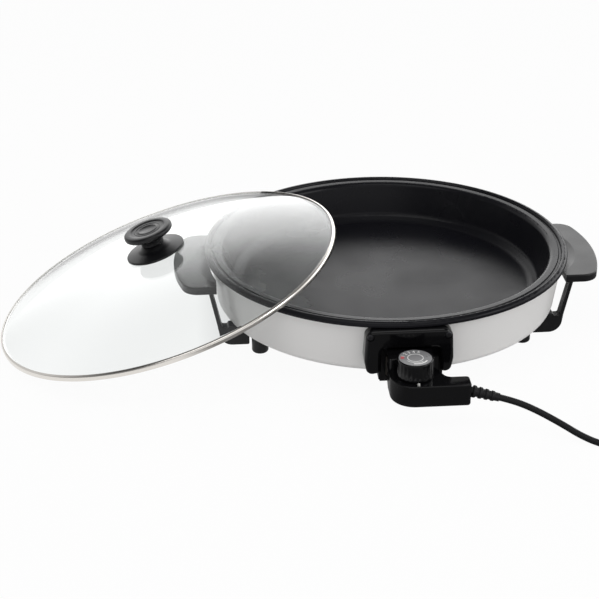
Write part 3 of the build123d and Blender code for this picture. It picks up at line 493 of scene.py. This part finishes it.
DIAL_SHAPE = [
    (4.1, 70.0), (4.1, 55.4), (17.9, 55.4), (18.5, 55.9), (18.75, 56.8), (18.75, 59.2),
    (18.55, 60.0), (18.45, 66.0), (18.45, 72.6), (18.6, 73.6), (18.75, 74.2), (18.6, 75.2),
    (18.1, 75.85), (17.6, 76.0), (17.2, 75.8), (17.1, 75.42), (0.6, 75.42),
]
DIAL_SIDES = 144
FLUTE_LOW, FLUTE_HIGH, FLUTE_INSIDE = 0.0598, 0.0728, 0.018
FLUTE_PITCH, FLUTE_SIDES = 6, (2, 3, 4)
FLUTE_DEPTH = 0.982
dial_spot = Matrix.Translation(pan_axis + Vector((0.0016, -0.245, 0.0)))
dial = turned_piece("dial_grip", DIAL_SHAPE, DIAL_SIDES)
bpy.ops.object.select_all(action="DESELECT")
dial.select_set(True)
bpy.context.view_layer.objects.active = dial
for vertex in dial.data.vertices:
    side = round(math.atan2(vertex.co.y, vertex.co.x) / math.tau * DIAL_SIDES) % FLUTE_PITCH
    on_wall = FLUTE_LOW < vertex.co.z < FLUTE_HIGH and vertex.co.xy.length > FLUTE_INSIDE
    vertex.select = on_wall and side in FLUTE_SIDES
for edge in dial.data.edges:
    edge.select = False
for face in dial.data.polygons:
    face.select = False
bpy.ops.object.mode_set(mode="EDIT")
bpy.ops.transform.resize(value=(FLUTE_DEPTH, FLUTE_DEPTH, 1), center_override=(0, 0, 0))
bpy.ops.object.mode_set(mode="OBJECT")
set_in_place(dial, dial_spot)
dial.data.materials.append(glossy_black)
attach(dial, "dial")
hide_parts("dial")


# Dial print
# Silk-screened on the grey disc: a ring, two arcs for the heat, five numbers and a red mark.
# Each mark is a thin layer of ink that turns with the dial.

dial_print, shader = new_material("dial disc", Base_Color=(0.2, 0.2, 0.205, 1))
add_grain(dial_print, shader, 900.0, 0.00001, 0.24, 0.34, 60.0)
finish_node("dial_face", dial_print)
white_ink, shader = new_material("white ink", Base_Color=(0.85, 0.85, 0.84, 1))
add_grain(white_ink, shader, 1500.0, 0.000004, 0.4, 0.5, 60.0)
red_ink, shader = new_material("red ink", Base_Color=(0.5, 0.09, 0.1, 1))
add_grain(red_ink, shader, 1500.0, 0.000004, 0.4, 0.5, 60.0)
INK_LOW, INK_THICK = 0.07591, 0.00005
DASH = 0.0001
ARC_STEP = 5
NUMBER_SIZE = 0.0064
NUMBER_R = 0.0128


def inked(piece, name, place, ink):
    """Names a printed mark, sets it on the disc and hands it to the dial."""
    piece.name = name
    set_in_place(piece, place)
    piece.data.materials.append(ink)
    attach(piece, "dial")


def printed_arc(name, inner, outer, start, sweep, ink):
    """Flat arc of ink between two radii in mm, spun from a short dash at its start angle."""
    bpy.ops.object.select_all(action="DESELECT")
    bpy.ops.mesh.primitive_plane_add(size=1.0, location=(0, 0, 0))
    piece = bpy.context.active_object
    for vertex in piece.data.vertices:
        vertex.co.x = (inner if vertex.co.x < 0 else outer) / 1000
        vertex.co.y = -DASH if vertex.co.y < 0 else 0.0
    bpy.ops.object.mode_set(mode="EDIT")
    bpy.ops.mesh.select_all(action="DESELECT")
    bpy.ops.object.mode_set(mode="OBJECT")
    for vertex in piece.data.vertices:
        vertex.select = vertex.co.y > -DASH / 2
    bpy.ops.object.mode_set(mode="EDIT")
    bpy.ops.mesh.select_mode(type="EDGE")
    bpy.ops.object.mode_set(mode="OBJECT")
    for edge in piece.data.edges:
        edge.select = all(piece.data.vertices[i].select for i in edge.vertices)
    bpy.ops.object.mode_set(mode="EDIT")
    steps = max(2, round(sweep / ARC_STEP))
    bpy.ops.mesh.spin(steps=steps, angle=math.radians(sweep), center=(0, 0, 0), axis=(0, 0, 1))
    bpy.ops.mesh.select_mode(type="VERT")
    bpy.ops.mesh.select_all(action="SELECT")
    bpy.ops.mesh.remove_doubles(threshold=0.000001)
    bpy.ops.mesh.extrude_region_move(TRANSFORM_OT_translate={"value": (0, 0, INK_THICK)})
    bpy.ops.mesh.select_all(action="SELECT")
    bpy.ops.mesh.normals_make_consistent(inside=False)
    bpy.ops.object.mode_set(mode="OBJECT")
    first = Matrix.Rotation(math.radians(start), 4, "Z")
    inked(piece, name, dial_spot @ Matrix.Translation((0, 0, INK_LOW)) @ first, ink)


printed_arc("print_ring", 7.6, 8.4, 0.0, 355.0, white_ink)
printed_arc("print_arc_inner", 10.2, 10.9, -48.0, 100.0, white_ink)
printed_arc("print_arc_outer", 12.2, 13.9, -30.0, 74.0, white_ink)
printed_arc("print_red_mark", 11.6, 15.2, 186.0, 22.0, red_ink)
for number, angle in ((1, 160.0), (2, 137.0), (3, 114.0), (4, 91.0), (5, 68.0)):
    bpy.ops.object.select_all(action="DESELECT")
    bpy.ops.object.text_add(location=(0, 0, 0))
    text = bpy.context.active_object
    text.data.body = str(number)
    text.data.align_x = "CENTER"
    text.data.align_y = "CENTER"
    text.data.size = NUMBER_SIZE
    text.data.extrude = INK_THICK / 2
    bpy.ops.object.convert(target="MESH")
    inked(
        bpy.context.active_object, f"print_number_{number}",
        dial_spot @ Matrix.Rotation(math.radians(angle), 4, "Z")
        @ Matrix.Translation((NUMBER_R, 0, INK_LOW + INK_THICK / 2))
        @ Matrix.Rotation(math.radians(-90), 4, "Z"), white_ink,
    )


# Floor and light
# A white studio: an even white surround whose low rear part lies bright on the tops of the black
# parts, a painted dark reflection in front of their fronts (the floor's glow, dimmed towards +X for
# glossy rays only), a wide soft lamp above and one at the right.

FLOOR_SIZE = 12.0
FLOOR_WHITE = (0.86, 0.86, 0.86, 1)
FLOOR_SEEN = 0.95
# How far the painted dark reflection dims the floor's glow for glossy rays.
PAINTED_REFLECTION_SHADE = 0.75
SKY_DIFFUSE = 0.66


def maths(tree, operation, *given):
    """Result of a Math node that is fed with other results or plain numbers."""
    node = tree.nodes.new("ShaderNodeMath")
    node.operation = operation
    for socket, value in zip(node.inputs, given):
        if isinstance(value, float):
            socket.default_value = value
        else:
            tree.links.new(value, socket)
    return node.outputs[0]


def stretched(tree, value, low_at, high_at, low, high, kind="LINEAR"):
    """Result of a Map Range node, which runs from low to high between two values."""
    node = tree.nodes.new("ShaderNodeMapRange")
    node.interpolation_type = kind
    node.inputs["From Min"].default_value = low_at
    node.inputs["From Max"].default_value = high_at
    node.inputs["To Min"].default_value = low
    node.inputs["To Max"].default_value = high
    tree.links.new(value, node.inputs["Value"])
    return node.outputs["Result"]


def axis_values(tree, coordinates):
    """The three values of one of Texture Coordinate's outputs."""
    split = tree.nodes.new("ShaderNodeSeparateXYZ")
    place = tree.nodes.new("ShaderNodeTexCoord")
    tree.links.new(place.outputs[coordinates], split.inputs[0])
    return split.outputs


bpy.ops.mesh.primitive_plane_add(size=FLOOR_SIZE, location=(0.0, 0.0, 0.0))
floor = bpy.context.active_object
floor.name = "studio_floor"
floor_paint = bpy.data.materials.new("studio white")
floor_paint.use_nodes = True
tree = floor_paint.node_tree
tree.nodes.clear()
surface = tree.nodes.new("ShaderNodeOutputMaterial")
blend = tree.nodes.new("ShaderNodeMixShader")
matte = tree.nodes.new("ShaderNodeBsdfDiffuse")
glow = tree.nodes.new("ShaderNodeEmission")
ray = tree.nodes.new("ShaderNodeLightPath").outputs
matte.inputs["Color"].default_value = FLOOR_WHITE
# Painted dark reflection: glossy rays see the floor's glow dimmed to a quarter towards +X, so the
# black fronts mirror a darker floor while the camera sees it white.
painted_reflection_shade = stretched(tree, axis_values(tree, "Object")["X"], -0.12, 0.02, 0.0, PAINTED_REFLECTION_SHADE)
dimmed = maths(tree, "MULTIPLY", painted_reflection_shade, ray["Is Glossy Ray"])
strength = maths(tree, "SUBTRACT", 1.0, dimmed)
seen = maths(tree, "MULTIPLY", ray["Is Camera Ray"], FLOOR_SEEN)
mirrored = maths(tree, "MAXIMUM", ray["Is Glossy Ray"], ray["Is Transmission Ray"])
tree.links.new(strength, glow.inputs["Strength"])
tree.links.new(maths(tree, "MAXIMUM", seen, mirrored), blend.inputs["Fac"])
tree.links.new(matte.outputs[0], blend.inputs[1])
tree.links.new(glow.outputs[0], blend.inputs[2])
tree.links.new(blend.outputs[0], surface.inputs["Surface"])
floor.data.materials.append(floor_paint)

world = bpy.data.worlds.new("studio")
scene.world = world
world.use_nodes = True
tree = world.node_tree
tree.nodes.clear()
sky_out = tree.nodes.new("ShaderNodeOutputWorld")
sky = tree.nodes.new("ShaderNodeBackground")
ray = tree.nodes.new("ShaderNodeLightPath").outputs
axis = axis_values(tree, "Generated")
low_part = stretched(tree, axis["Z"], 0.8, 0.42, 0.3, 3.0, "SMOOTHSTEP")
right_part = stretched(tree, axis["X"], -0.6, -0.1, 0.3, 1.0, "SMOOTHSTEP")
rear_part = stretched(tree, axis["Y"], -0.1, 0.4, 0.4, 1.0, "SMOOTHSTEP")
around = maths(tree, "MULTIPLY", low_part, maths(tree, "MULTIPLY", right_part, rear_part))
glossy_share = maths(tree, "MULTIPLY", ray["Is Glossy Ray"], around)
other_share = stretched(tree, ray["Is Glossy Ray"], 0.0, 1.0, 1.0, 0.0)
even_light = stretched(tree, ray["Is Diffuse Ray"], 0.0, 1.0, 1.0, SKY_DIFFUSE)
total = maths(tree, "MULTIPLY_ADD", other_share, even_light, glossy_share)
tree.links.new(total, sky.inputs["Strength"])
tree.links.new(sky.outputs[0], sky_out.inputs["Surface"])

for name, place, turn, wide, tall, power in (
    ("upper softbox", (-0.3, -0.9, 2.2), (22.0, -8.0, 0.0), 2.0, 1.4, 14.0),
    ("right softbox", (2.3, -1.2, 1.5), (60.0, 0.0, 62.0), 1.2, 1.2, 17.0),
):
    lamp_data = bpy.data.lights.new(name, "AREA")
    lamp_data.shape = "RECTANGLE"
    lamp_data.size = wide
    lamp_data.size_y = tall
    lamp_data.energy = power
    lamp = bpy.data.objects.new(name, lamp_data)
    lamp.location = place
    lamp.rotation_euler = [math.radians(angle) for angle in turn]
    lamp.visible_camera = False
    scene.collection.objects.link(lamp)

scene.view_settings.view_transform = "Standard"
